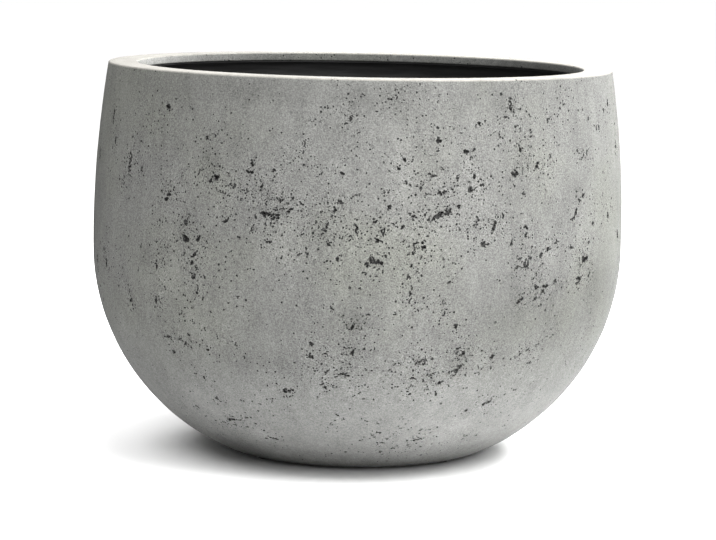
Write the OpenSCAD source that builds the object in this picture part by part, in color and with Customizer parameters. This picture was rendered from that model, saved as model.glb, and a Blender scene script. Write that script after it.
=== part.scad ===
// Concrete bowl planter: a round bowl of fibre-reinforced cement, laid up in a mould as three
// bonded skins, standing on four rubber pads, with a ribbed rubber plug in its drain hole.
// Millimetres, +Z up. The origin is on the floor, on the axis of the bowl.

/* [Bowl] */
// Height from the floor to the flat top of the rim
height = 348; // [290:1:420]
// Diameter at the belly, the widest place
belly_d = 480; // [400:1:580]
// Height of the belly above the floor
belly_z = 185; // [150:1:225]
// How far the top edge leans in from the belly, on each side
rim_tuck = 13; // [8:0.5:30]
// Diameter at which the curved side meets the underside
foot_d = 246; // [200:1:300]
// Rounding of the edge between the side and the underside
foot_round = 5; // [2:0.5:8]

/* [Rim] */
// Width of the flat, turned-in rim
rim_w = 26; // [20:1:40]
// Height of the face at the rim's inner edge
lip_h = 8; // [6.5:0.5:14]
// Rounding of the rim's edges
rim_round = 1.5; // [0.5:0.25:2.5]
// Rounding of the inside corner under the rim
under_rim_round = 7; // [3:0.5:12]

/* [Skins] */
// Thickness of the cement face coat
face_t = 4; // [3:0.25:6]
// Thickness of the glass-fibre backing coat on the wall
backer_t = 6; // [4:0.25:10]
// Thickness of the base over the drain recess, face coat and backing coat together
base_t = 14; // [11:0.5:24]
// Thickness of the waterproof lining
lining_t = 1.2; // [0.8:0.1:2.5]
// Rounding where the inside of the wall meets the inside floor
floor_round = 26; // [10:1:40]
// Rounding of the buried corners between the face coat and the backing coat
seam_round = 1.5; // [0.5:0.25:3]
// Bond line between two skins
bond = 0.1; // [0.1:0.05:0.3]
// Bare strip left under the lip, between its edge rounding and the lining
bare_strip = 1; // [0.5:0.5:5]

/* [Underside] */
// Width of the ring that the base stands on
ring_w = 34; // [28:1:50]
// Depth of the drain recess inside that ring
recess_h = 4; // [3:0.5:8]
// Diameter of the rubber pads
pad_d = 20; // [14:1:24]
// Thickness of the rubber pads
pad_h = 3; // [2:0.5:6]
// Rounding of the pads' lower edge
pad_round = 0.8; // [0.4:0.1:1.5]

/* [Drain plug] */
// Diameter of the drain hole
drain_d = 22; // [16:1:32]
// Radial clearance between the plug's ribs and the drain hole
plug_fit = 0.08; // [0.05:0.01:0.1]
// How far the plug's flange overlaps the lining round the hole
flange_lap = 7; // [4:0.5:12]
// Thickness of the flange at its rim
flange_h = 3; // [2:0.25:5]
// Extra height of the flange's domed middle
dome_h = 1.6; // [0.8:0.2:3]
// Depth of the ribs round the plug's shank
rib_depth = 2; // [1:0.25:3]
// Distance from one rib to the next
rib_pitch = 4; // [3:0.25:6]
// How far the shank stands out below the base
plug_show = 2; // [1:0.5:2.5]
// Wall of the hollow shank behind the ribs
plug_wall = 3; // [2:0.25:4]
// Rubber left over the hollow, under the flange
plug_crown = 3; // [2:0.25:5]

/* [Hidden] */
$fn = 180;
chord_err = 0.015; // largest gap between a true arc and its straight steps
recess_slope = 45; // slope of the recess's step, so that the bowl leaves its mould
pads = 4;
pad_turn = 45; // angle from +X to the first pad

// One rib of the plug, as shares of its pitch: the ramp, the crest and the steep back
rib_ramp = 0.6;
rib_crest = 0.15;
rib_back = 0.1;

pad_names = [for (i = [1:pads]) str("foot_pad_", i)];

wall_t = face_t + backer_t;
belly_r = belly_d / 2;
foot_r = foot_d / 2;
drain_r = drain_d / 2;
ring_in_r = foot_r - ring_w;
lip_r = belly_r - rim_tuck - rim_w;

// The side is two arcs that meet upright at the belly. Each radius follows from the rise
// and the run between the belly and the edge where that arc ends.
low_R = tangent_R(belly_z - pad_h, belly_r - foot_r);
top_R = tangent_R(height - belly_z, rim_tuck);
low_c = [belly_r - low_R, belly_z];
top_c = [belly_r - top_R, belly_z];

// Heights of the flat faces inside the base
recess_z = pad_h + recess_h;
floor_z = recess_z + base_t;
seat_z = floor_z + bond + lining_t;

face_grey = [0.62, 0.62, 0.60];
backer_grey = [0.50, 0.49, 0.46];
lining_black = [0.05, 0.05, 0.05];
rubber_black = [0.09, 0.09, 0.09];

// Radius of an arc that starts upright and has moved in by run where it has risen by rise
function tangent_R(rise, run) = (rise * rise + run * run) / (2 * run);

// Points along an arc, without its first one, so that arcs join with no point doubled
function arc(c, r, from, to) =
    let (n = ceil(abs(to - from) / (2 * acos(1 - chord_err / r))))
    [for (i = [1:n]) let (a = from + (to - from) * i / n) c + r * [cos(a), sin(a)]];

function reversed(points) = [for (i = [len(points) - 1:-1:0]) points[i]];

// Direction from one point to another
function heading(from, to) = atan2(to[1] - from[1], to[0] - from[0]);

// Centre of a small circle that touches the level line z and fits inside the big circle (c, r)
function corner_c(c, r, z, small_r) =
    [c[0] + sqrt(pow(r - small_r, 2) - pow(z - c[1], 2)), z];

// The side of the bowl at a depth t below its outer surface, from the level low_z, where it
// starts with a rounded corner, over the belly and up to the level high_z
function side(t, low_z, low_round, high_z, high_round) =
    let (
        low_corner = corner_c(low_c, low_R - t, low_z + low_round, low_round),
        high_corner = corner_c(top_c, top_R - t, high_z - high_round, high_round),
        low_a = heading(low_c, low_corner),
        high_a = heading(top_c, high_corner)
    )
    concat(
        [[low_corner[0], low_z]],
        arc(low_corner, low_round, -90, low_a),
        arc(low_c, low_R - t, low_a, 0),
        arc(top_c, top_R - t, 0, high_a),
        arc(high_corner, high_round, high_a, 90)
    );

// The underside from the drain hole out to the standing ring, at a depth t inside it
function underside(t) =
    let (shift = t * tan(recess_slope / 2), run = recess_h / tan(recess_slope))
    [
        [drain_r, recess_z + t],
        [ring_in_r - run + shift, recess_z + t],
        [ring_in_r + shift, pad_h + t]
    ];

// The inner edge of the rim: rounded above and below, with the lip's flat face between
function lip() =
    concat(
        [[lip_r + rim_round, height]],
        arc([lip_r + rim_round, height - rim_round], rim_round, 90, 180),
        [[lip_r, height - lip_h + rim_round]],
        arc([lip_r + rim_round, height - lip_h + rim_round], rim_round, 180, 270)
    );

// Cement face coat: the whole outside, turned in over the rim and down the lip
module face_coat() {
    inside_z = height - face_t;
    color(face_grey)
    rotate_extrude()
    polygon(concat(
        underside(0),
        side(0, pad_h, foot_round, height, rim_round),
        lip(),
        [[lip_r + face_t, height - lip_h], [lip_r + face_t, inside_z]],
        reversed(side(face_t, pad_h + face_t, seam_round, inside_z, seam_round)),
        reversed(underside(face_t))
    ));
}

// Glass-fibre backing coat: the bearing wall and base, which also fills the rim behind the lip
module backer_coat() {
    t = face_t + bond;
    rim_z = height - t;
    color(backer_grey)
    rotate_extrude()
    polygon(concat(
        underside(t),
        side(t, pad_h + t, seam_round, rim_z, seam_round),
        [[lip_r + t, rim_z], [lip_r + t, height - lip_h]],
        reversed(side(wall_t, floor_z, floor_round, height - lip_h, under_rim_round)),
        [[drain_r, floor_z]]
    ));
}

// Waterproof lining: the inside floor and wall, and the underside of the rim
module waterproof_lining() {
    outer_t = wall_t + bond;
    inner_t = outer_t + lining_t;
    end_r = lip_r + rim_round + bare_strip;
    top_z = height - lip_h - bond;
    color(lining_black)
    rotate_extrude()
    polygon(concat(
        [[drain_r, floor_z + bond]],
        side(outer_t, floor_z + bond, floor_round, top_z, under_rim_round),
        [[end_r, top_z], [end_r, top_z - lining_t]],
        reversed(side(inner_t, seat_z, floor_round - lining_t,
                      top_z - lining_t, under_rim_round - lining_t)),
        [[drain_r, seat_z]]
    ));
}

// Rubber drain plug: a domed flange on the lining, and a hollow shank whose barbed ribs
// grip the hole and let it be pushed in but not fall out
module drain_plug() {
    rib_r = drain_r - plug_fit;
    core_r = rib_r - rib_depth;
    bore_r = core_r - plug_wall;
    tip_z = recess_z - plug_show;
    flange_r = drain_r + flange_lap;
    edge_round = flange_h / 2;
    dome_run = flange_r - edge_round;
    dome_R = (dome_run * dome_run + dome_h * dome_h) / (2 * dome_h);
    dome_c = [0, seat_z + flange_h + dome_h - dome_R];
    rim_a = heading(dome_c, [dome_run, seat_z + flange_h]);
    ribs = floor((seat_z - tip_z) / rib_pitch);
    bore_top = seat_z - plug_crown;
    color(rubber_black)
    rotate_extrude()
    polygon(concat(
        [[0, bore_top]],
        arc([0, bore_top - bore_r], bore_r, 90, 0),
        [[bore_r, tip_z]],
        [for (i = [0:ribs - 1]) let (z = tip_z + i * rib_pitch) each [
            [core_r, z],
            [rib_r, z + rib_pitch * rib_ramp],
            [rib_r, z + rib_pitch * (rib_ramp + rib_crest)],
            [core_r, z + rib_pitch * (rib_ramp + rib_crest + rib_back)]
        ]],
        [[core_r, seat_z], [dome_run, seat_z]],
        arc([dome_run, seat_z + edge_round], edge_round, -90, 90),
        arc(dome_c, dome_R, rim_a, 90)
    ));
}

// One round rubber pad, stuck under the middle of the standing ring
module foot_pad(i) {
    color(rubber_black)
    rotate(pad_turn + (i - 1) * 360 / pads)
    translate([foot_r - ring_w / 2, 0, 0])
    rotate_extrude()
    polygon(concat(
        [[0, 0], [pad_d / 2 - pad_round, 0]],
        arc([pad_d / 2 - pad_round, pad_round], pad_round, -90, 0),
        [[pad_d / 2, pad_h], [0, pad_h]]
    ));
}

face_coat();
backer_coat();
waterproof_lining();
drain_plug();
for (i = [1:pads])
    foot_pad(i);
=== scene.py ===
"""Concrete bowl planter: a swelling, pitted bowl of grey cement with a black lining, a rubber
drain plug and rubber pads, on a white studio floor. Metres, +Z up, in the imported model's frame."""

import math
import random

import bmesh
import bpy
from mathutils import Matrix, Vector, kdtree, noise


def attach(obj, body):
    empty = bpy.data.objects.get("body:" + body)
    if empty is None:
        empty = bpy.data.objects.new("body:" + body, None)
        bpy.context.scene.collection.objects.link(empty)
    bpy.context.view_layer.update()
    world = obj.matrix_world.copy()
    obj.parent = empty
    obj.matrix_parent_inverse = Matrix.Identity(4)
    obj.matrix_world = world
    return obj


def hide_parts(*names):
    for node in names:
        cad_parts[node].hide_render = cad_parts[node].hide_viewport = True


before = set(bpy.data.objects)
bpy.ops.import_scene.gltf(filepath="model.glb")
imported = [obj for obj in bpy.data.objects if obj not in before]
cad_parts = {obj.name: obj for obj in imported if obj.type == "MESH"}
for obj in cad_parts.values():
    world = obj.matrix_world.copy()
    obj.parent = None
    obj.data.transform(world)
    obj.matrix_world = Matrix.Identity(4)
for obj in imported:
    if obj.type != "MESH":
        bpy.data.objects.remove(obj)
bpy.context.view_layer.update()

# --- Face coat -----------------------------------------------------------------------------
# The outside of the bowl, 4 mm of grey cement pressed against the mould by hand. It turns in
# over the flat rim and down the lip, and it is bonded to the backing coat behind it.

MM = 0.001
RIM_TOP = 348
BELLY_R = 240
BELLY_Z = 185
FOOT_R = 123
PAD_H = 3
RIM_TUCK = 13
RIM_W = 26
LIP_H = 8
FACE_T = 4
DRAIN_R = 11
EDGE = 1.5
FOOT_ROUND = 5
RING_W = 34
RING_IN = FOOT_R - RING_W
RECESS_H = 4
UNDERSIDE_Z = PAD_H + RECESS_H
AROUND = 200


def arc_radius(rise, run):
    """Radius of an arc that starts upright and has moved in by run where it has risen by rise."""
    return (rise * rise + run * run) / (2 * run)


LOW_R = arc_radius(BELLY_Z - PAD_H, BELLY_R - FOOT_R)
TOP_R = arc_radius(RIM_TOP - BELLY_Z, RIM_TUCK)
LOW_X = BELLY_R - LOW_R
TOP_X = BELLY_R - TOP_R
LIP_R = BELLY_R - RIM_TUCK - RIM_W


def side_r(z, depth=0):
    """Radius of the bowl's side at the height z, at a depth below its surface."""
    x, r = (LOW_X, LOW_R) if z < BELLY_Z else (TOP_X, TOP_R)
    return x + math.sqrt((r - depth) ** 2 - (z - BELLY_Z) ** 2)


def side_lean(z):
    """Angle by which the surface at the height z faces up or down, in degrees."""
    x = LOW_X if z < BELLY_Z else TOP_X
    return math.degrees(math.atan2(z - BELLY_Z, side_r(z) - x))


class Template:
    """A turner's template: an outline drawn at one side of the axis, then turned round it."""

    def __init__(self, x, z):
        self.bm = bmesh.new()
        self.start = self.bm.verts.new((x * MM, 0, z * MM))
        self.end = self.start

    def line(self, x, z, steps=1):
        first = self.end.co.copy()
        last = Vector((x * MM, 0, z * MM))
        for step in range(1, steps + 1):
            drawn = bmesh.ops.extrude_vert_indiv(self.bm, verts=[self.end])
            self.end = drawn["verts"][0]
            self.end.co = first.lerp(last, step / steps)

    def arc(self, x, z, turn, steps):
        centre = (x * MM, 0, z * MM)
        drawn = bmesh.ops.spin(self.bm, geom=[self.end], cent=centre, axis=(0, -1, 0),
                               angle=math.radians(turn), steps=steps)
        self.end = [part for part in drawn["geom_last"] if isinstance(part, bmesh.types.BMVert)][0]

    def close(self):
        bmesh.ops.contextual_create(self.bm, geom=[self.end, self.start])

    def turn(self, steps, at=(0, 0, 0)):
        bmesh.ops.spin(self.bm, geom=self.bm.verts[:] + self.bm.edges[:], cent=(0, 0, 0),
                       axis=(0, 0, 1), angle=math.tau, steps=steps, use_merge=True)
        bmesh.ops.remove_doubles(self.bm, verts=self.bm.verts[:], dist=1e-6)
        bmesh.ops.recalc_face_normals(self.bm, faces=self.bm.faces[:])
        bmesh.ops.translate(self.bm, verts=self.bm.verts[:], vec=Vector(at) * MM)
        return self.bm


def piece(name, bm, sharp=35):
    """Makes a finished mesh an object, smooth but for edges sharper than an angle in degrees."""
    mesh = bpy.data.meshes.new(name)
    bm.to_mesh(mesh)
    bm.free()
    mesh.shade_smooth()
    mesh.set_sharp_from_angle(angle=math.radians(sharp))
    made = bpy.data.objects.new(name, mesh)
    bpy.context.scene.collection.objects.link(made)
    return made


class Measure:
    """A number that changes over a surface. Sums on it add Math nodes."""

    def __init__(self, finish, socket):
        self.finish = finish
        self.socket = socket

    def maths(self, operation, first, second):
        return self.finish.node("Math", {"operation": operation}, {0: first, 1: second})

    def __add__(self, other):
        return self.maths("ADD", self, other)

    def __radd__(self, other):
        return self.maths("ADD", other, self)

    def __sub__(self, other):
        return self.maths("SUBTRACT", self, other)

    def __rsub__(self, other):
        return self.maths("SUBTRACT", other, self)

    def __mul__(self, other):
        return self.maths("MULTIPLY", self, other)

    def __rmul__(self, other):
        return self.maths("MULTIPLY", other, self)

    def larger(self, other):
        return self.maths("MAXIMUM", self, other)

    def ramp(self, low, high, bottom=0.0, top=1.0):
        """Eases from bottom to top as the number goes from low to high."""
        return self.finish.node("MapRange", {"interpolation_type": "SMOOTHSTEP"},
                                {0: self, 1: low, 2: high, 3: bottom, 4: top})


class Finish:
    """A material being made up. node() adds any shader node and gives one of its outputs."""

    def __init__(self, name):
        self.material = bpy.data.materials.new(name)
        self.material.use_nodes = True
        self.nodes = self.material.node_tree.nodes
        self.links = self.material.node_tree.links
        self.shader = self.nodes["Principled BSDF"]

    def node(self, kind, settings=None, sockets=None, out=0):
        made = self.nodes.new("ShaderNode" + kind)
        for name, value in (settings or {}).items():
            setattr(made, name, value)
        self.join(made, sockets or {})
        return Measure(self, made.outputs[out])

    def join(self, made, sockets):
        for name, value in sockets.items():
            if isinstance(value, Measure):
                self.links.new(value.socket, made.inputs[name])
            else:
                made.inputs[name].default_value = value

    def surface(self, sockets):
        self.join(self.shader, sockets)

    def stretched(self, x, y, z):
        """Places on the object, with its axes stretched."""
        place = self.node("TexCoord", out="Object")
        return self.node("VectorMath", {"operation": "MULTIPLY"}, {0: place, 1: (x, y, z)})

    def cloud(self, place, per_metre, detail, rough, out="Fac"):
        """Cloudy variation, so many clouds to the metre."""
        return self.node("TexNoise", None, {"Vector": place, "Scale": per_metre, "Detail": detail,
                                            "Roughness": rough}, out)

    def cells(self, place, per_metre, out):
        """Scattered points, so many to the metre: the distance to the nearest, or its colour."""
        return self.node("TexVoronoi", None, {"Vector": place, "Scale": per_metre}, out)

    def tint(self, first, second, share):
        """Mixes two colours."""
        return self.node("Mix", {"data_type": "RGBA"}, {0: share, 6: first, 7: second}, 2)

    def bump(self, height, strength, distance):
        """Small relief, up to a distance in millimetres."""
        sockets = {"Height": height, "Strength": strength, "Distance": distance * MM}
        return self.node("Bump", None, sockets)


def rounding(x, r, z, small):
    """Centre and angle of a small arc that joins a level line to the big arc of the side."""
    centre = x + math.sqrt((r - small) ** 2 - (z - BELLY_Z) ** 2)
    return centre, math.degrees(math.atan2(z - BELLY_Z, centre - x))


# The outline starts at the drain hole, runs out under the base, up the side, over the rim
# and down the lip, and comes back along the hidden face against the backing coat.
foot_x, foot_turn = rounding(LOW_X, LOW_R, PAD_H + FOOT_ROUND, FOOT_ROUND)
rim_x, rim_turn = rounding(TOP_X, TOP_R, RIM_TOP - EDGE, EDGE)
back_top = math.degrees(math.asin((RIM_TOP - FACE_T - BELLY_Z) / (TOP_R - FACE_T)))
back_low = math.degrees(math.asin((BELLY_Z - UNDERSIDE_Z) / (LOW_R - FACE_T)))

coat = Template(DRAIN_R, UNDERSIDE_Z)
coat.line(RING_IN - RECESS_H, UNDERSIDE_Z, 5)
coat.line(RING_IN, PAD_H)
coat.line(foot_x, PAD_H, 3)
coat.arc(foot_x, PAD_H + FOOT_ROUND, 90 + foot_turn, 5)
coat.arc(LOW_X, BELLY_Z, -foot_turn, 30)
coat.arc(TOP_X, BELLY_Z, rim_turn, 22)
coat.arc(rim_x, RIM_TOP - EDGE, 90 - rim_turn, 5)
coat.line(LIP_R + EDGE, RIM_TOP, 4)
coat.arc(LIP_R + EDGE, RIM_TOP - EDGE, 90, 5)
coat.line(LIP_R, RIM_TOP - LIP_H + EDGE)
coat.arc(LIP_R + EDGE, RIM_TOP - LIP_H + EDGE, 90, 5)
coat.line(LIP_R + FACE_T, RIM_TOP - LIP_H)
coat.line(LIP_R + FACE_T, RIM_TOP - FACE_T)
coat.line(side_r(RIM_TOP - FACE_T, FACE_T), RIM_TOP - FACE_T, 2)
coat.arc(TOP_X, BELLY_Z, -back_top, 4)
coat.arc(LOW_X, BELLY_Z, -back_low, 12)
coat.line(RING_IN + 2, UNDERSIDE_Z)
coat.line(RING_IN + 2 - RECESS_H, UNDERSIDE_Z + FACE_T)
coat.line(DRAIN_R, UNDERSIDE_Z + FACE_T, 3)
coat.close()
shell = coat.turn(AROUND)

# Laid up by hand, the surface is a little uneven, by up to half a millimetre.
for vert in shell.verts:
    z = min(max(vert.co.z / MM, PAD_H), RIM_TOP)
    from_axis = math.hypot(vert.co.x, vert.co.y) / MM
    if z > 12 and from_axis > side_r(z) - 1:
        hollow = 0.2 + 0.4 * noise.noise(vert.co * 14) + 0.2 * noise.noise(vert.co * 40)
        vert.co.xy *= 1 - min(max(hollow, 0), 0.5) / from_axis
face_coat = piece("face_coat_cement", shell)

# Blowholes that air left against the mould, the ones worth copying: degrees round from the
# front, height, length, width and the tilt of the length, up to the right.
BLOWHOLES = [
    # the two long clusters left of the middle
    (-18.2, 236, 11, 5, 0), (-16.3, 234, 9, 5, -5), (-13.6, 240, 6, 3, 0), (-15.7, 241, 12, 2.5, 2),
    (-15.2, 248, 6, 2.5, 30), (-21, 224, 7, 2.5, 60), (-36.5, 211.5, 10, 7, 80),
    (-36.6, 225, 7, 4, 90), (-34.4, 198, 10, 3, 40), (-35, 191, 4, 4, 0), (-32, 204.5, 7, 1.5, 5),
    (-34, 187, 5, 3, 80), (-33.5, 212, 6, 4, 30), (-34.6, 179.5, 6, 4, 90), (-33.8, 169, 9, 3, 90),
    (-37, 197, 3, 3, 0), (-35, 206, 3, 2.5, 0),
    # upper left
    (-43.9, 317, 8, 5, -65), (-66.6, 305, 8, 4, 90), (-63.8, 284, 8, 4, 90), (-76, 268, 12, 4, 90),
    (-55.7, 267, 20, 5, 88), (-58, 254, 4, 2, 90), (-58, 246, 5, 1.5, 90), (-52, 287, 3, 2, 0),
    (-51, 264, 6, 2.5, 90), (-42.2, 243, 8, 5, 20), (-29.7, 265.5, 9, 6, 60), (-31, 260, 5, 3, 30),
    (-31, 274, 3, 2, 0), (-34, 267, 6, 2, 90), (-38.5, 263, 5, 2, 85), (-32.5, 295, 4, 3, 0),
    (-30.5, 297, 3, 2, 60), (-29, 292, 3, 2, 0), (-37, 318, 2.5, 2.5, 0), (-42, 325, 3, 2, -20),
    (-22.2, 269, 8, 4, -20), (-21.7, 277, 6, 3, 90), (-17, 272, 4, 3, 0), (-22.5, 254, 3, 2, 0),
    (-19.5, 259, 4, 3, 20), (-26, 257, 9, 2.5, -20), (-23, 253, 6, 2.5, -15), (-28, 252, 3, 2, 90),
    (-34, 246, 3, 2, 0), (-21, 249, 4, 2, 0), (-23.7, 247, 4, 1.5, 30), (-13.3, 252, 4, 2, 90),
    (-16, 249.5, 5, 2.5, -15), (-11.4, 247, 3, 2, -20), (-13.8, 278.5, 2.5, 2, 0),
    # upper middle
    (-2.9, 318.5, 4, 2, -50), (-1.8, 316, 6, 3, 70), (-1.4, 318, 3, 2, -50), (-9.5, 313, 4, 2, 0),
    (-8, 313, 2, 2, 0), (-11, 294, 5, 2, -80), (-11, 288, 5, 2, 90), (0.5, 336, 2.5, 2, 0),
    (3.5, 322, 2.5, 2, 0), (7.2, 340, 4, 2, 90), (6.2, 332, 5, 2.5, -10), (7.6, 334, 3, 2.5, 60),
    (16.5, 336, 2.5, 2, 0), (11, 302, 3, 1.5, 45), (-0.5, 286, 2.5, 2, 0), (0, 305, 2.5, 2, 0),
    (9, 284, 5, 3, 90), (8.1, 275.5, 4.5, 4, 0), (9.4, 265, 4, 3, 0), (-3.2, 272.5, 4, 3.5, 0),
    (-7.3, 271, 4, 2, 90), (16.6, 300, 7, 5, 60), (16, 291, 4, 2.5, 50), (22, 291, 6.5, 5, 60),
    (17, 276, 4, 3, 0), (14.7, 271, 7.5, 3, -10), (11.6, 262, 3, 2, -20), (12.9, 263, 3, 2, 30),
    (13.9, 256, 6, 2, -15), (16.7, 256, 7, 3.5, 15), (17.3, 257.5, 6, 2.5, 30),
    (19, 259, 3.5, 2.5, 0), (20, 268, 5, 2.5, 85), (20, 262, 2.5, 2, 0), (23.8, 270, 5, 3.5, 80),
    (25.4, 262, 4, 3, -45), (22.9, 258, 5, 4, -40), (-0.8, 253.5, 5, 1.5, 30),
    (5.2, 257, 2.5, 2, 0),
    # upper right
    (33, 326, 10, 3.5, 90), (35, 307, 3.5, 2.5, 90), (33, 332, 3, 2.5, 0),
    (33.6, 321.5, 4, 2.5, 90), (25.2, 312, 5, 3, 90), (43, 313, 6, 2.5, 85), (57.5, 312, 4, 3, 90),
    (53.5, 320, 2.5, 2, 0), (48.5, 326, 4, 2, 40), (62.5, 303, 5, 3, 90), (66.5, 317, 5, 3, 90),
    (70, 323, 8, 4, 65), (74.5, 285, 7, 4, 90), (56, 283, 6, 3, 90), (61.2, 303, 5, 3, 90),
    (21, 305, 3, 2.5, 0), (29.8, 304, 5, 2, 90), (34.5, 310, 3, 2, 0), (38, 304, 3, 2.5, 45),
    (35, 290, 4.5, 4, 0), (34.5, 293.5, 2.5, 2.5, 0), (37.8, 292, 4, 2, 80), (52.2, 286, 4, 3, 0),
    (54.6, 282, 4, 2.5, 90), (54, 279.5, 3, 2.5, 0), (43.2, 283, 3, 3, 0), (39.5, 277, 8, 4, 10),
    (33.3, 271, 6.5, 5, 45), (27.6, 269, 3, 2, 0), (35.3, 270, 3, 2, 90), (43, 265, 3, 2.5, 0),
    (52.5, 244, 5, 4, 80), (35.4, 254, 4, 3, 0),
    # the middle, with the arch and the trail that runs down from it
    (3.7, 200, 14, 4, -12), (2, 198, 5, 3, 70), (3, 203, 5, 3, 0), (-3.5, 248, 6, 3, 0),
    (-4.4, 241.5, 4, 3, 90), (-6, 229, 6, 3, 85), (-6.2, 224.5, 6, 3, -30), (-6.8, 222, 3, 2, 0),
    (-10.8, 221, 3, 2, 10), (-11.3, 205, 5, 2.5, 25), (-5.5, 214, 3, 3, 0), (-3.8, 201.5, 4, 3, 90),
    (0, 234, 3, 2.5, 0), (-0.2, 226, 9, 3, 90), (-1.4, 221, 4, 2.5, 20), (4.2, 217, 6, 4, 10),
    (5, 225.5, 6, 3.5, 60), (3.5, 233, 4, 3, 0), (6.2, 245, 4, 3, 0), (4.4, 236.5, 4, 2, 0),
    (7.4, 232, 5, 1.5, 20), (8.8, 228, 3, 3, 0), (11.2, 237, 5, 3, 20), (17.2, 239.5, 14, 5, 20),
    (15.2, 236.5, 8, 3.5, 55), (14.2, 234.5, 4, 3, 0), (11.2, 213, 8, 2.5, 88), (11, 207, 4, 3, 70),
    (13.1, 213.5, 7, 5.5, 80), (11.6, 215.5, 4, 3, 60), (12.9, 203, 4, 2.5, 70),
    (10.7, 197, 4, 3, 20), (11.9, 192, 3, 2, 30), (10, 188, 4, 2.5, 90), (11, 178, 4, 2.5, 80),
    (10.8, 174, 5, 3, 85), (10.4, 167, 5, 2.5, 80), (-0.3, 146, 7, 5, 60), (-1, 144, 4, 3, 0),
    (1.5, 191, 4, 1.5, 0), (0.7, 178, 3, 2.5, 0), (3.9, 188, 3, 2, 0), (17.2, 202, 5, 1.5, 85),
    (18.5, 183, 4, 3, 60), (17.4, 166.5, 5, 2, 85), (17.8, 156, 6, 2.5, 60), (18.3, 160, 3, 2, 0),
    (20.8, 145, 6, 4, 0), (7.8, 157, 3.5, 2.5, 0), (-4.7, 161, 5, 2, -45), (2.5, 156, 3, 2, 0),
    # right of the middle
    (24.3, 232, 11, 3, 72), (20.4, 245, 3, 3, 0), (22.2, 226, 3, 2.5, 60), (24.1, 219, 3, 2, 0),
    (28.3, 228, 9, 4, 88), (30.2, 236, 7, 2.5, 90), (34.8, 237, 3, 2, 0), (36, 225, 6, 4, -40),
    (36, 219, 4, 3.5, 20), (25.8, 214, 6, 4, 50), (26.8, 213, 3, 2.5, 0), (32.4, 214, 6, 3, 65),
    (50.6, 232.5, 12, 4, 60), (53.8, 248, 5, 3.5, 30), (57.8, 222, 4, 4, 0), (66, 227, 6, 4, 90),
    (74.3, 206, 8, 5, 90), (56.1, 207, 5, 3, 20), (40.3, 201, 6, 4, 30), (42.3, 206, 6, 4, 15),
    (44.6, 211, 5, 3, 60), (45, 206, 4, 2, 0), (36.3, 195, 9, 4.5, 70), (37.1, 200, 5, 3, 10),
    (34.5, 199, 4, 2.5, 0), (36.2, 195, 5, 3.5, 10), (35, 191.5, 3, 2, 0), (33.8, 192, 5, 3, 20),
    (33.3, 190, 3, 2, 30), (49.6, 204, 7, 2.5, -25), (54.6, 193, 9, 7, 50), (52.7, 177, 8, 5, 50),
    (53, 188, 4, 2.5, 90), (52, 173.5, 4.5, 4, 0), (56.6, 178, 5, 3, 35), (38, 181, 3, 2, -20),
    (39.3, 174, 7, 4, 0), (41.6, 174, 8, 4, 5), (44.5, 177, 5, 3, 20), (41, 170, 4, 3, 0),
    (46.8, 171, 3, 2, -45), (35, 164, 9, 3.5, 25), (39.1, 164.5, 5, 3, 45), (44.5, 129, 4, 2, 0),
    (46.5, 129, 5, 2, 20),
    # left of the middle and lower left
    (-45, 204, 4, 2, 90), (-44.9, 185, 8, 4, 85), (-74, 175, 8, 4, 90), (-66, 176, 7, 4, 60),
    (-54.8, 149, 6, 4, 60), (-45.5, 155, 6, 3.5, 90), (-44.2, 123, 5, 3, 60),
    (-40.1, 122, 5, 3, 60), (-44.7, 154.5, 4, 2, -70), (-55, 157, 5, 2, 85), (-67.5, 187, 5, 3, 0),
    (-27, 228, 6, 4, 20), (-24.8, 234, 3, 2, 0), (-30, 239, 3, 2, 0), (-21.3, 222, 3, 2, 0),
    (-17.7, 213, 4, 3.5, 60), (-25.8, 203, 5, 2, 60), (-20.7, 189.5, 3.5, 1.5, -10),
    (-24, 165.5, 4, 2.5, 60), (-37.3, 151, 3, 2.5, 0), (-38, 146, 4, 2, -30),
    (-35.5, 140, 5, 2, -70), (-43, 122, 6, 2.5, -60), (-38.8, 119, 5, 3, 90),
    (-25.5, 124, 6, 1.5, -70), (-29.8, 130, 3, 2, 90), (-43.3, 109, 4, 3, 90),
    (-33, 115, 3.5, 3, 0), (-24, 113, 4, 2, 90), (-36.2, 89, 4, 3, 90), (-38.7, 91.5, 4, 2, 0),
    (-35, 70.5, 4, 3, 0), (-35.1, 70, 5, 3.5, 20), (-34.3, 49, 9, 4, -10), (-44.5, 57, 4, 2.5, -30),
    (-32.2, 50.5, 12, 2.5, 5), (-33.5, 53, 4, 2, 0), (-28.5, 54, 3, 3, 0), (-37.7, 45, 5, 2.5, -25),
    (-34.2, 43.5, 5, 2, -10), (-30, 43.8, 4, 2, 10), (-26, 33.5, 4, 2.5, 0),
    (-23.6, 34, 9, 3.5, -12),
    # lower middle
    (-8.9, 129, 5, 3.5, -40), (-6.2, 121.5, 6, 2.5, 15), (-9.2, 118, 5, 4, 0),
    (-12.7, 111.5, 3, 2, 0), (-1.3, 127, 7, 2, 0), (-0.4, 123, 6, 4.5, 50), (-6, 126, 2.5, 1.5, 90),
    (-1, 112, 3, 2, 0), (-2.7, 108.5, 3, 2, 20), (-2.7, 103, 9, 3, 0), (-1.5, 101.5, 4, 2.5, 0),
    (-3.8, 106.5, 2.5, 2, 0), (-6, 105, 5, 2.5, 15), (-8.5, 105, 2.5, 2, 0), (2.5, 107, 2.5, 2, 30),
    (7, 102.5, 4, 2, 20), (7.5, 107.5, 2.5, 2, 0), (9.3, 113.5, 3, 2.5, -30), (-7, 92.5, 5, 2, -20),
    (-6.3, 90, 5, 3, -20), (-6.2, 86.5, 4, 1.5, 0), (-15.3, 85, 8, 4, -20), (-13.8, 86, 3, 3, 90),
    (1, 92, 3, 1.5, 0), (1.2, 85, 3, 2, 0), (4.5, 79.5, 3, 2, 90), (-3.8, 63.5, 3, 2, 0),
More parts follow.
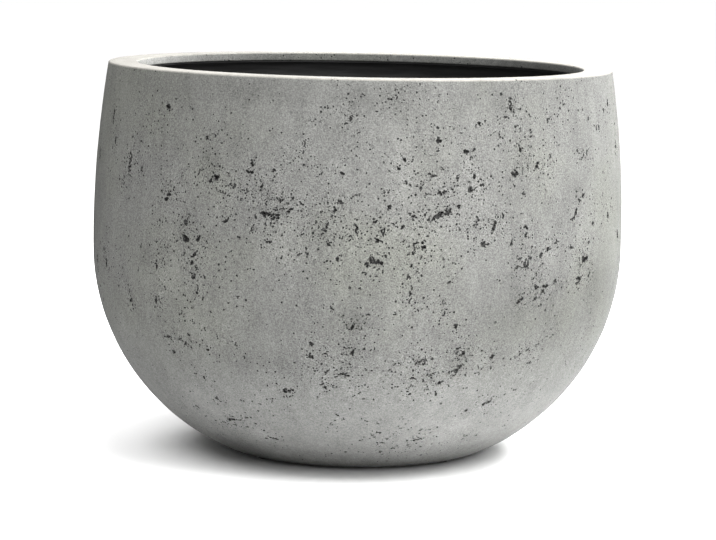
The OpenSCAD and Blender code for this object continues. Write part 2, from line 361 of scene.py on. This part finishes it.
    (-5.8, 53.5, 4, 2, 0), (2.9, 58.5, 3, 2, 0), (6.1, 55.5, 3, 2, 0), (12.4, 60, 3, 2, 0),
    (6.8, 46, 6, 2.5, 0), (7, 46, 2.5, 2, -45), (5.1, 43.5, 3, 3, 0), (5.7, 41.5, 5, 1.5, 0),
    (2, 37.5, 3, 2.5, 0), (9.3, 40, 4, 2, 0), (8.2, 35, 5, 2.5, 10), (8.5, 24.5, 3, 3, 0),
    (12.3, 50.5, 3, 2, 0), (18, 48, 5, 2, 15), (18.9, 38, 7, 3, 20), (12, 28, 5, 2.5, 0),
    (17.5, 37, 5, 2.5, 10), (17, 29.5, 4, 2, 0),
    # the clusters lower right
    (12.2, 117, 3, 2, 0), (13.6, 114, 7, 3, 40), (14.5, 116.5, 5, 2.5, 30), (16.3, 116, 4, 2.5, 0),
    (15, 112.5, 4, 3, 60), (16.3, 102, 6, 3, 20), (17.6, 103.5, 7, 2, 10), (19.3, 105, 3, 1.5, 0),
    (12.7, 100, 5, 3, 0), (15, 97.5, 4, 3, 90), (19.3, 95.5, 6, 4, 80), (12.4, 92.5, 5, 2, 85),
    (12, 87, 3, 2.5, 0), (12.6, 84, 3, 3, 0), (16.3, 88.5, 5, 2, 10), (18.8, 84, 3, 3, 0),
    (3.2, 125, 3, 2, 50), (4, 126.5, 3, 2, 90), (21.8, 126, 7, 3, 30), (23.2, 122.5, 7, 4.5, 80),
    (21.6, 121, 4, 3, 80), (22.8, 118.5, 5, 3, 0), (22.3, 115.5, 5, 3, 85), (24.2, 113, 3, 2, 0),
    (22.8, 106.5, 9, 5, 85), (21, 104, 5, 3, 60), (22.2, 101, 7, 2.5, 0), (30.5, 116.5, 6, 4, 80),
    (30.3, 113, 2.5, 2, 0), (37.8, 115.5, 4, 3, 70), (37, 113, 4, 2, 20), (39.7, 119, 5, 3, 75),
    (42, 122, 5, 2, 20), (27.5, 101.5, 5, 2, 0), (31, 105, 3, 3, 45), (33.4, 71.5, 10, 4, 35),
    (34.6, 74.5, 4, 2, 10), (28.5, 65.5, 4, 2.5, 0), (47, 42, 5, 2, 10), (34, 37, 3.5, 2.5, 0),
    (37.5, 36, 4, 2, 0), (41.8, 106, 4, 3, 45),
]

# The photograph doesn't show the back. It has the same holes, turned half round, spread a little
# and head down: the height of a hole and that of its copy add up to 364 mm.
SPREAD = 1.2
HEAD_DOWN = 364
for degrees, height, length, width, tilt in BLOWHOLES[:]:
    behind = (SPREAD * degrees + 360) % 360 - 180
    BLOWHOLES.append((behind, HEAD_DOWN - height, length, width, tilt + 180))

# Each hole is cut by uneven lumps, and those shorter than 2.8 mm are little cones. Lumps that
# would touch, nearer than 0.6 of their lengths together, go on different trays, which cut in
# turn. The neighbours of a lump are looked up in cubes of 16 mm.
chance = random.Random(11)
SMALL = 2.8
APART = 0.6
CUBE = 16


def uneven_lump(small, seed):
    """A ball pushed out of shape, for the space that an air bubble left, or a little cone."""
    ball = bmesh.new()
    if small:
        inwards = Matrix.Rotation(math.radians(-90), 4, "Y")
        bmesh.ops.create_cone(ball, cap_ends=True, segments=6, radius1=1.35, radius2=0, depth=1,
                              matrix=inwards)
    else:
        bmesh.ops.create_icosphere(ball, subdivisions=2, radius=1)
    for vert in ball.verts:
        wide_push = noise.noise(vert.co * 1.1 + Vector((seed * 3.7, 0, seed)))
        close_push = noise.noise(vert.co * 2.9 + Vector((0, seed * 5.3, seed)))
        vert.co *= 1 + 0.6 * wide_push + 0.5 * close_push
    bmesh.ops.recalc_face_normals(ball, faces=ball.faces[:])
    mesh = bpy.data.meshes.new("lump")
    ball.to_mesh(mesh)
    ball.free()
    return mesh


middle_lumps = [uneven_lump(False, seed) for seed in range(14)]
small_lumps = [uneven_lump(True, seed) for seed in range(20, 34)]
trays = [bmesh.new() for number in range(4)]
laid = [{} for tray in trays]


def surface_point(degrees, height):
    """Place and lie of a point on the side: degrees round from the front, and a height."""
    turned = Matrix.Rotation(math.radians(degrees - 90), 4, "Z")
    leaned = Matrix.Rotation(-math.radians(side_lean(height)), 4, "Y")
    return turned @ Matrix.Translation((side_r(height) * MM, 0, height * MM)) @ leaned


def cut_hole(degrees, height, length, width, tilt, depth):
    """Lays one lump on a tray where it touches no other, if there is room on one."""
    on_side = surface_point(degrees, height)
    at = on_side.translation / MM
    cube = (int(at.x // CUBE), int(at.y // CUBE), int(at.z // CUBE))
    for tray, filled in zip(trays, laid):
        near = [lump for x in (-1, 0, 1) for y in (-1, 0, 1) for z in (-1, 0, 1)
                for lump in filled.get((cube[0] + x, cube[1] + y, cube[2] + z), [])]
        if all((at - other).length > (length + its_length) * APART for other, its_length in near):
            filled.setdefault(cube, []).append((at, length))
            depth *= 2 if length < SMALL else 1
            size = Matrix.Diagonal((depth * MM, length / 2 * MM, width / 2 * MM, 1))
            sunk = Matrix.Translation((-depth * 0.3 * MM, 0, 0))
            turned = Matrix.Rotation(math.radians(tilt), 4, "X")
            lump = chance.choice(small_lumps if length < SMALL else middle_lumps).copy()
            lump.transform(on_side @ sunk @ turned @ size)
            tray.from_mesh(lump)
            bpy.data.meshes.remove(lump)
            return


def cut_near(degrees, height, away, up, *hole):
    """Cuts a hole a little way off from a point, measured along the surface in millimetres."""
    lower = up * math.cos(math.radians(side_lean(height)))
    cut_hole(degrees + math.degrees(away / side_r(height)), height + lower, *hole)


for degrees, height, length, width, tilt in BLOWHOLES:
    in_front = abs(degrees) < 80
    # Bubbles that ran together along a line leave one ragged hole.
    bubble_area = 3.2 if in_front else 4
    bubbles = max(1, min(round(length * width / bubble_area), 9))
    slope = math.radians(tilt)
    for count in range(bubbles):
        share = (count + 0.5 + chance.uniform(-0.4, 0.4)) / bubbles - 0.5
        along = share * (length - 0.5 * width) if bubbles > 1 else 0
        across = chance.uniform(-0.5, 0.5) * width * (0.8 if bubbles > 2 else 0.2)
        size = max(width * chance.uniform(0.4, 0.75), 1.3) if bubbles > 1 else width * 0.9
        long = size * chance.uniform(1, 1.7) if bubbles > 1 else length * 0.9
        cut_near(degrees, height, along * math.cos(slope) - across * math.sin(slope),
                 along * math.sin(slope) + across * math.cos(slope), long, size,
                 tilt + chance.uniform(-45, 45), 0.7 + 0.35 * width)
    # A few small ones lie round the larger ones.
    for count in range(int(length * (0.6 if in_front else 0.3))):
        small = chance.uniform(1.2, 2.0)
        away = chance.gauss(0, 0.35 * length + 1.5)
        higher = chance.gauss(0, 0.3 * length + 1.5)
        cut_near(degrees, height, away, higher, small, small * chance.uniform(0.6, 1),
                 chance.uniform(-90, 90), 1.0)

# The small holes crowd round the larger ones. One degree round the bowl is about 4.1 mm.
ONE_DEGREE = 4.1


def crowding(x, y, z):
    """How thick the small holes lie at a place, from none at 0 to crowded at 1."""
    where = Vector((x, y, z * 0.7))
    drift = noise.noise(where * 0.02) + 0.7 * noise.noise(where * 0.055)
    around = math.degrees(math.atan2(x, -y))
    close = 0
    for degrees, height, length, width, tilt in BLOWHOLES:
        turned = (around - degrees + 180) % 360 - 180
        apart = (turned * ONE_DEGREE) ** 2 + (z - height) ** 2
        if apart < 900:
            close += length * width / 13 * math.exp(-apart / 110)
    return min(max(0.26 + 0.42 * drift + 0.34 * min(close, 2), 0), 1)


# Cloudy places painted lighter or darker: degrees round from the front, height, width, tallness, and
# how much lighter, with a minus for darker. Most are where the cement dried lighter or darker; those
# marked below are painted shade and light.
CLOUDS_AND_PAINTED_LIGHT = [
    # The first here, a wide darker cloud down the left side, is painted shade.
    (-84, 215, 112, 220, -0.22), (80, 220, 60, 80, -0.08), (-45, 338, 90, 26, -0.04),
    (-20, 338, 70, 26, -0.10), (3, 335, 60, 30, -0.09), (31, 332, 22, 26, -0.12),
    (-30, 295, 60, 24, -0.06), (-31, 275, 16, 16, -0.10), (-37, 215, 12, 24, -0.06),
    (-22, 212, 60, 14, -0.03), (-48, 190, 30, 18, -0.06), (-20, 236, 28, 14, -0.04),
    (-7, 218, 14, 32, -0.08), (0, 150, 24, 20, -0.12), (12, 258, 18, 18, -0.03),
    (34, 262, 18, 60, -0.05), (34, 190, 20, 60, -0.08), (38, 155, 80, 50, -0.07),
    (62, 160, 90, 55, -0.12), (52, 250, 24, 28, -0.10), (23, 118, 14, 22, -0.10),
    # The first here is painted shade low at the left, just above the floor, and the second is
    # painted light just above it.
    (-42, 18, 60, 24, -0.20), (-27, 36, 26, 14, 0.08), (-20, 108, 50, 18, -0.05),
    (24, 260, 16, 50, 0.09), (8, 275, 14, 50, 0.10), (-5, 265, 30, 16, 0.04),
    (-17, 258, 24, 26, 0.04), (-14, 208, 32, 26, 0.08), (20, 215, 70, 40, 0.05),
    (42, 200, 18, 18, 0.10), (-41, 170, 60, 26, 0.08), (-30, 135, 54, 26, 0.06),
    (10, 150, 24, 50, 0.06), (12, 122, 56, 26, 0.05), (0, 88, 70, 36, 0.07), (22, 80, 70, 36, 0.08),
    (27, 40, 50, 26, 0.07), (-25, 85, 90, 30, 0.05), (47, 95, 70, 30, 0.03),
    # The first two here are painted light on the left end of the lip's inner face and painted shade
    # on its right end.
    (-105, 344, 90, 12, 0.20), (125, 344, 130, 12, -0.10), (24, 338, 14, 20, -0.08),
    (-3, 308, 16, 16, -0.07), (-42, 72, 24, 16, 0.08), (46, 125, 30, 30, -0.05),
    (-15, 126, 14, 16, 0.06), (-56, 275, 16, 20, 0.06), (-11, 272, 20, 16, -0.06),
    (-110, 130, 90, 40, 0.06), (-125, 290, 60, 30, -0.10), (-140, 210, 50, 60, -0.08),
    (-160, 300, 50, 40, 0.08), (-170, 150, 80, 30, -0.09), (-175, 240, 40, 50, 0.07),
    (165, 310, 60, 26, -0.12), (150, 200, 40, 70, -0.08), (135, 120, 90, 30, 0.08),
    (120, 260, 40, 50, 0.08), (105, 180, 40, 60, -0.10), (100, 310, 40, 26, -0.07),
]


def clouds_and_painted_light(x, y, z):
    """How much lighter or darker a place is painted: the cement's own clouds, with painted shade and
    light.
    """
    around = math.degrees(math.atan2(x, -y))
    shade = 0
    for degrees, height, wide, tall, lighter in CLOUDS_AND_PAINTED_LIGHT:
        turned = (around - degrees + 180) % 360 - 180
        apart = (math.radians(turned) * side_r(height) / wide) ** 2 + ((z - height) / tall) ** 2
        if apart < 2:
            shade += lighter * math.exp(-2.8 * apart)
    # Painted light and shade on the inner face of the lip: lighter at the left end, where light from
    # the right falls on it, and fading darker round to the right.
    if z > RIM_TOP - LIP_H - 1 and math.hypot(x, y) < LIP_R + 0.5:
        left = -x / LIP_R
        shade += 0.42 * max(left, 0) ** 5 - 0.035 * (1 - left)
    return shade


# The other holes are small and lie anywhere, thicker in some drifts and thin in others. Places
# are drawn between two heights, and the more crowded one is, the likelier it gets a hole.
PLACES = 3200
HIGHEST = 345
LOWEST = 14
for count in range(PLACES):
    degrees = chance.uniform(-180, 180)
    height = HIGHEST - (HIGHEST - LOWEST) * chance.random() ** 0.9
    at = surface_point(degrees, height).translation / MM
    length = 1.3 + 1.4 * chance.random() ** 2
    # Away from the front, a few are longer.
    if abs(degrees) > 72:
        length *= 1 + 2.4 * chance.random() ** 6
    if chance.random() < crowding(*at) ** 1.5 * 0.9:
        cut_hole(degrees, height, length, length * chance.uniform(0.55, 0.95),
                 chance.uniform(-90, 90), 0.6 + 0.25 * length)

# The cement. Heights in this material are in metres.
COOL_GREY = (0.124, 0.1245, 0.119, 1)
WARM_GREY = (0.121, 0.123, 0.112, 1)
LOW_GREY = (0.1225, 0.1235, 0.119, 1)
RIM_GREY = (0.1265, 0.1225, 0.112, 1)
PORE_BLACK = (0.012, 0.012, 0.0117, 1)
BROKEN_GREY = (0.11, 0.11, 0.106, 1)

cement = Finish("pitted cement")
place = cement.stretched(1, 1, 1)
up = cement.node("SeparateXYZ", None, {0: place}, 2)
rim = up.ramp(0.3462, 0.3474)
crowd = cement.node("Attribute", {"attribute_name": "crowding"}, out="Fac")
crowd = crowd * up.ramp(0.07, 0.13, 0.6, 1.0)
clouds_and_light = cement.node("Attribute", {"attribute_name": "clouds_and_painted_light"}, out="Fac")
wide = cement.cloud(place, 8, 3.0, 0.6)
patch = cement.cloud(cement.stretched(1, 1, 0.6), 38, 4.0, 0.65)
drag = cement.cloud(cement.stretched(1, 1, 0.3), 130, 3.0, 0.6)
grain = cement.cloud(place, 900, 1.0, 0.5)
sand = cement.cloud(place, 420, 1.0, 0.5)
crumbs = cement.cloud(cement.stretched(1, 1, 0.8), 600, 2.0, 0.6)
wobble = cement.cloud(place, 900, 1.0, 0.5, "Color")
shaken = cement.node("VectorMath", {"operation": "MULTIPLY_ADD"},
                     {0: wobble, 1: (0.0016, 0.0016, 0.0016), 2: place})


def pores(per_metre, smallest, spread):
    """Fine pores: each one's number in the draw, its size, and the distance from its middle."""
    dice = cement.cells(shaken, per_metre, "Color")
    drawn = cement.node("SeparateColor", None, {0: dice}, 0)
    size = smallest + spread * cement.node("SeparateColor", None, {0: dice}, 1)
    return drawn, size, cement.cells(shaken, per_metre, "Distance")


# Three kinds of pore are too fine to cut: specks with a chalky collar, spots that lie wider
# apart, and pits between the crumbs.
# Their near-black is partly dark cement and partly painted shade, the shade deep inside each pore.
fine, fine_size, from_fine = pores(400, 0.17, 0.26)
fine_there = (fine + 0.015 + crowd * (0.20 + 0.56 * crowd)).ramp(0.98, 1.03)
speck = fine_there * (fine_size - from_fine).ramp(0.0, 0.08)
collar = fine_there * (fine_size + 0.30 - from_fine).ramp(0.0, 0.25)
wider, wider_size, from_wider = pores(230, 0.10, 0.22)
wider_there = (wider + crowd * (0.04 + 0.22 * crowd)).ramp(0.98, 1.02)
spot = wider_there * (wider_size - from_wider).ramp(0.0, 0.05)
pit = (crumbs + crowd * 0.10).ramp(0.74, 0.79)
dark = speck.larger(spot).larger(pit)

# The cement is painted lighter on the rim, as a highlight, and low down, as bounce light off the
# floor.
salt = (grain - 0.5) * (1.25 + 0.6 * crowd) * up.ramp(0.02, 0.12, 0.65, 1.0) + collar * 0.19
tone = 0.265 + 0.24 * wide + 0.51 * patch + 0.34 * drag + salt * (1 - 0.6 * rim) + 0.36 * sand
painted_light_and_tone = up.ramp(0.0, 0.14, 1.36, 1.03) * up.ramp(0.045, 0.085, 1.15, 1.0) * (1 + 0.68 * rim)
# The clouds add the cement's own tone and some painted shade and light; from 270 mm up it is a
# little darker.
painted_light_and_tone = painted_light_and_tone * (1 + 2.2 * clouds_and_light * (1 - 0.7 * rim)) * up.ramp(0.27, 0.34, 1.0, 0.95)
# Painted shade: the last few millimetres above the pads are darker, as the shade where the bowl
# meets the floor.
painted_light_and_tone = painted_light_and_tone * up.ramp(0.003, 0.011, 0.8, 1.0)
grey = cement.tint(COOL_GREY, WARM_GREY, wide.ramp(0.4, 0.7))
grey = cement.tint(grey, LOW_GREY, up.ramp(0.16, 0.06))
grey = cement.tint(grey, RIM_GREY, rim)
toned = cement.node("VectorMath", {"operation": "SCALE"}, {0: grey, "Scale": tone * painted_light_and_tone})
pitted = cement.tint(toned, PORE_BLACK, dark * 0.96)
rough_skin = cement.bump(grain * 0.14 + drag * 0.08 - dark * 0.5, 1.0, 1.0)
cement.surface({"Base Color": pitted, "Roughness": 0.88 - 0.1 * wide, "Normal": rough_skin,
                "Specular IOR Level": 0.08})

# Broken open by the mould, each hole shows the darker and coarser cement inside, and its walls are
# painted darker still, as painted shade deep in the hole.
hole_wall = Finish("blowhole wall")
crumb = hole_wall.cloud(hole_wall.stretched(1, 1, 1), 700, 2.0, 0.6)
hole_wall.surface({"Base Color": hole_wall.tint(PORE_BLACK, BROKEN_GREY, crumb.ramp(0.42, 0.72)),
                   "Roughness": 0.95, "Normal": hole_wall.bump(crumb, 1.0, 0.2)})

face_coat.data.materials.append(cement.material)

# What is known of each point before the cuts: how crowded its pores are, fewer on top of the rim,
# and how much lighter or darker it is painted, by clouds and by painted shade and light.
marks = []
places = kdtree.KDTree(len(face_coat.data.vertices))
for number, vert in enumerate(face_coat.data.vertices):
    on_rim = vert.co.z / MM > RIM_TOP - 1
    marks.append((crowding(*(vert.co / MM)) * (0.3 if on_rim else 1), clouds_and_painted_light(*(vert.co / MM))))
    places.insert(vert.co, number)
places.balance()

for number, tray in enumerate(trays):
    lumps = piece("lumps_%d" % number, tray)
    lumps.data.materials.append(hole_wall.material)
    cut = face_coat.modifiers.new("blowholes", "BOOLEAN")
    cut.object = lumps
    cut.operation = "DIFFERENCE"
    cut.solver = "MANIFOLD"
    cut.material_mode = "TRANSFER"
    seen = bpy.context.evaluated_depsgraph_get()
    carved = bpy.data.meshes.new_from_object(face_coat.evaluated_get(seen), depsgraph=seen)
    face_coat.modifiers.clear()
    face_coat.data = carved
    bpy.data.objects.remove(lumps)
face_coat.data.name = "face_coat_cement"

# Crumbs that the cuts leave loose fall off: only what hangs together with the rim stays.
whole = bmesh.new()
whole.from_mesh(face_coat.data)
bmesh.ops.dissolve_degenerate(whole, dist=3e-7, edges=whole.edges[:])
joined = set()
found = {max(whole.verts, key=lambda vert: vert.co.z)}
while found:
    joined |= found
    found = {edge.other_vert(vert) for vert in found for edge in vert.link_edges} - joined
loose = [vert for vert in whole.verts if vert not in joined]
bmesh.ops.delete(whole, geom=loose, context="VERTS")
whole.to_mesh(face_coat.data)
whole.free()

# Every point of the cut surface takes its marks from the points nearest to it before.
crowded = face_coat.data.attributes.new("crowding", "FLOAT", "POINT")
clouds_and_light_attribute = face_coat.data.attributes.new("clouds_and_painted_light", "FLOAT", "POINT")
for number, vert in enumerate(face_coat.data.vertices):
    close = [(marks[hit[1]], 1 / (hit[2] + 1e-6)) for hit in places.find_n(vert.co, 4)]
    weight = sum(share for mark, share in close)
    crowded.data[number].value = sum(mark[0] * share for mark, share in close) / weight
    clouds_and_light_attribute.data[number].value = sum(mark[1] * share for mark, share in close) / weight
face_coat.data.shade_smooth()
face_coat.data.set_sharp_from_angle(angle=math.radians(35))
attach(face_coat, "planter")
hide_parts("face_coat")

# --- Backing coat --------------------------------------------------------------------------
# The bearing wall, 6 mm of cement with chopped glass fibre rolled into it. The face coat and
# the lining hide it, and it shows only inside the drain hole.

backing = Finish("fibre cement")
strand = backing.cloud(backing.stretched(1, 1, 6), 180, 3.0, 0.6)
backing.surface({"Base Color": backing.tint((0.17, 0.165, 0.14, 1), (0.36, 0.35, 0.31, 1), strand),
                 "Roughness": 0.92, "Normal": backing.bump(strand, 0.8, 0.6)})
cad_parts["backer_coat"].material_slots[0].material = backing.material

# --- Waterproof lining ---------------------------------------------------------------------
# A black sealing coat, 1.2 mm thick, brushed round the inside by hand. It covers the floor and
# the wall and stops just under the lip, where a narrow strip of cement stays bare.

BOND = 0.1
BACKER_T = 6
BASE_T = 14
LINING_T = 1.2
LINING_DEPTH = FACE_T + BACKER_T + BOND
LINING_FLOOR = UNDERSIDE_Z + BASE_T + BOND
LINING_TOP = RIM_TOP - LIP_H - BOND
FLOOR_ROUND = 26
UNDER_RIM_ROUND = 7
BARE_STRIP = 2.5

coating = Template(DRAIN_R, LINING_FLOOR)
low_x, low_turn = rounding(LOW_X, LOW_R - LINING_DEPTH, LINING_FLOOR + FLOOR_ROUND, FLOOR_ROUND)
high_x, high_turn = rounding(TOP_X, TOP_R - LINING_DEPTH, LINING_TOP - UNDER_RIM_ROUND,
                             UNDER_RIM_ROUND)
coating.line(low_x, LINING_FLOOR, 3)
coating.arc(low_x, LINING_FLOOR + FLOOR_ROUND, 90 + low_turn, 6)
coating.arc(LOW_X, BELLY_Z, -low_turn, 20)
coating.arc(TOP_X, BELLY_Z, high_turn, 16)
coating.arc(high_x, LINING_TOP - UNDER_RIM_ROUND, 90 - high_turn, 6)
coating.line(LIP_R + BARE_STRIP, LINING_TOP, 2)
coating.line(LIP_R + BARE_STRIP, LINING_TOP - LINING_T)
coating.line(high_x, LINING_TOP - LINING_T, 2)
coating.arc(high_x, LINING_TOP - UNDER_RIM_ROUND, high_turn - 90, 6)
coating.arc(TOP_X, BELLY_Z, -high_turn, 28)
coating.arc(LOW_X, BELLY_Z, low_turn, 34)
coating.arc(low_x, LINING_FLOOR + FLOOR_ROUND, -90 - low_turn, 8)
coating.line(DRAIN_R, LINING_FLOOR + LINING_T, 6)
coating.close()
brushed = coating.turn(192)

# The brush leaves the inner face in low ridges, thicker here and thinner there.
for vert in brushed.verts:
    z = vert.co.z / MM
    from_axis = math.hypot(vert.co.x, vert.co.y) / MM
    inner_face = from_axis < side_r(z, LINING_DEPTH + 0.6)
    if inner_face and LINING_FLOOR + FLOOR_ROUND < z < LINING_TOP - 12:
        ridge = 0.25 * noise.noise(Vector((vert.co.x * 12, vert.co.y * 12, vert.co.z * 90)))
        vert.co.xy *= 1 + ridge / from_axis
lining = piece("lining_coat", brushed)

sealer = Finish("black sealing coat")
stroke = sealer.cloud(sealer.stretched(1, 1, 14), 22, 4.0, 0.6)
roller = sealer.cloud(sealer.stretched(1, 1, 1), 420, 2.0, 0.5)
sealer.surface({"Base Color": sealer.tint((0.024, 0.024, 0.024, 1), (0.044, 0.044, 0.044, 1),
                                          stroke.ramp(0.35, 0.65)),
                "Roughness": stroke.ramp(0.3, 0.7, 0.5, 0.65),
                "Normal": sealer.bump(stroke * 0.6 + roller * 0.4, 0.7, 0.4),
                "Specular IOR Level": 0.5})
lining.data.materials.append(sealer.material)
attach(lining, "planter")
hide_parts("waterproof_lining")

# --- Drain plug ----------------------------------------------------------------------------
# Moulded black rubber, pushed into the drain hole from inside: a domed flange that seals on
# the lining, and a hollow shank with four barbed ribs.

SEAT_Z = LINING_FLOOR + LINING_T
PLUG_TIP = UNDERSIDE_Z - 2
RIB_R = DRAIN_R - 0.08
CORE_R = RIB_R - 2
BORE_R = CORE_R - 3
BORE_TOP = SEAT_Z - 3
TIP_ROUND = 0.4
RIB_PITCH = 4
FLANGE_R = DRAIN_R + 7
FLANGE_H = 3
DOME_H = 1.6

dome_run = FLANGE_R - FLANGE_H / 2
dome_r = (dome_run ** 2 + DOME_H ** 2) / (2 * DOME_H)
dome_z = SEAT_Z + FLANGE_H + DOME_H - dome_r
dome_turn = math.degrees(math.asin(dome_run / dome_r))

stopper = Template(0, BORE_TOP)
stopper.arc(0, BORE_TOP - BORE_R, -90, 8)
stopper.line(BORE_R, PLUG_TIP + TIP_ROUND)
stopper.arc(BORE_R + TIP_ROUND, PLUG_TIP + TIP_ROUND, 90, 3)
stopper.line(CORE_R - 0.3, PLUG_TIP)
# Each rib is a ramp, a crest with eased edges and a steep back, at these shares of its pitch.
RIB = [(RIB_R - 0.25, 0.55), (RIB_R, 0.62), (RIB_R, 0.72), (RIB_R - 0.25, 0.78), (CORE_R, 0.85),
       (CORE_R, 1)]
for rib in range(4):
    for x, share in RIB:
        stopper.line(x, PLUG_TIP + (rib + share) * RIB_PITCH)
stopper.line(CORE_R, SEAT_Z)
stopper.line(dome_run, SEAT_Z, 2)
stopper.arc(dome_run, SEAT_Z + FLANGE_H / 2, 180, 8)
stopper.arc(0, dome_z, dome_turn, 10)
plug = piece("plug_rubber_moulding", stopper.turn(72), 30)

rubber = Finish("moulded rubber")
dust = rubber.cloud(rubber.stretched(1, 1, 1), 60, 4.0, 0.6)
pore = rubber.cloud(rubber.stretched(1, 1, 1), 1500, 2.0, 0.5)
rubber.surface({"Base Color": rubber.tint((0.013, 0.013, 0.013, 1), (0.045, 0.044, 0.042, 1),
                                          dust.ramp(0.45, 0.75)),
                "Roughness": dust.ramp(0.3, 0.7, 0.5, 0.72), "Normal": rubber.bump(pore, 0.5, 0.1)})
plug.data.materials.append(rubber.material)
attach(plug, "plug")
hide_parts("drain_plug")

# --- Foot pads -----------------------------------------------------------------------------
# Four round pads of black rubber, stuck under the standing ring. Each has a soft lower edge, and
# a shallow hollow and groove underneath that grip the floor. They lift the cement 3 mm off the
# floor, so that water can run out.

PAD_R = 10
PAD_ROUND = 0.8
PAD_RING = FOOT_R - RING_W / 2
HOLLOW = 0.4
PAD_UNDERSIDE = [(2.6, HOLLOW), (3.0, 0), (4.6, 0), (4.9, HOLLOW), (6.4, HOLLOW), (6.7, 0),
                 (PAD_R - PAD_ROUND, 0)]

for number in range(1, 5):
    angle = math.radians(45 + 90 * (number - 1))
    puck = Template(0, HOLLOW)
    for x, z in PAD_UNDERSIDE:
        puck.line(x, z)
    puck.arc(PAD_R - PAD_ROUND, PAD_ROUND, 90, 6)
    puck.line(PAD_R, PAD_H)
    puck.line(0, PAD_H)
    round_pad = puck.turn(64, (PAD_RING * math.cos(angle), PAD_RING * math.sin(angle), 0))
    pad = piece("pad_rubber_%d" % number, round_pad, 30)
    pad.data.materials.append(rubber.material)
    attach(pad, "planter")
    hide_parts("foot_pad_%d" % number)

# --- Studio --------------------------------------------------------------------------------
# A wide white floor and soft white light: six soft boxes above, behind, to the right and in
# front of the bowl, two wide distant lamps at the left and the right, and a faint glow from all
# round.

sheet = bmesh.new()
bmesh.ops.create_grid(sheet, x_segments=1, y_segments=1, size=40)
floor = piece("studio_floor", sheet)
paper = Finish("white paper")
paper.surface({"Base Color": (0.88, 0.88, 0.88, 1), "Roughness": 0.9, "Specular IOR Level": 0.0})
floor.data.materials.append(paper.material)


def distant_lamp(name, round_from_front, up, strength, spread):
    """Even light from far off: degrees to the right of the camera's side, degrees up."""
    lamp = bpy.data.lights.new(name, "SUN")
    lamp.energy = strength
    lamp.angle = math.radians(spread)
    made = bpy.data.objects.new(name, lamp)
    lie = Matrix.Rotation(math.radians(round_from_front), 4, "Z")
    made.matrix_world = lie @ Matrix.Rotation(math.radians(90 - up), 4, "X")
    bpy.context.scene.collection.objects.link(made)


def soft_box(name, at, to, size, strength):
    """A square lamp behind white cloth, aimed at a point and out of the camera's sight."""
    lamp = bpy.data.lights.new(name, "AREA")
    lamp.energy = strength
    lamp.size = size
    made = bpy.data.objects.new(name, lamp)
    aim = (Vector(at) - Vector(to)).to_track_quat("Z", "Y")
    made.matrix_world = Matrix.Translation(at) @ aim.to_matrix().to_4x4()
    made.visible_camera = False
    bpy.context.scene.collection.objects.link(made)


soft_box("high", (0.5, 0.0, 2.5), (0.5, 0.0, 0.0), 2.0, 52)
soft_box("overhead", (0.2, -0.5, 0.9), (0.2, -0.5, 0.0), 0.6, 8.5)
soft_box("right_back", (0.9, 0.6, 0.9), (0.9, 0.6, 0.0), 0.6, 49)
soft_box("right_front", (1.0, -1.0, 1.6), (1.0, -1.0, 0.0), 1.0, 32)
soft_box("back", (0.0, 1.3, 0.7), (0.0, 0.0, 0.17), 0.7, 16)
soft_box("front", (0.65, -1.13, 0.7), (0.0, 0.0, 0.17), 0.7, 6.6)
distant_lamp("left", -60, 60, 2.0, 35)
distant_lamp("right", 100, 35, 1.7, 30)
air = bpy.data.worlds.new("studio air")
air.use_nodes = True
air.node_tree.nodes["Background"].inputs["Color"].default_value = (1, 1, 1, 1)
air.node_tree.nodes["Background"].inputs["Strength"].default_value = 0.28
bpy.context.scene.world = air

# The camera stands where the photograph's outline, rim and base put it: 2.24 m in front of the
# bowl's axis and 0.47 m up, looking down by 7.83 degrees and rolled by a little over 1 degree.
DOWN = 7.83
PAN = -0.0006
ROLL = 0.0202
lens = bpy.data.cameras.new("camera")
lens.lens = 124.0
lens.sensor_width = 36
lens.clip_end = 200
camera = bpy.data.objects.new("camera", lens)
pitch = Matrix.Rotation(math.radians(90 - DOWN), 4, "X")
aim = Matrix.Rotation(PAN, 4, "Z") @ pitch @ Matrix.Rotation(ROLL, 4, "Z")
camera.matrix_world = Matrix.Translation((0, -2.2357, 0.4675)) @ aim
bpy.context.scene.collection.objects.link(camera)
bpy.context.scene.camera = camera
bpy.context.scene.view_settings.view_transform = "Standard"
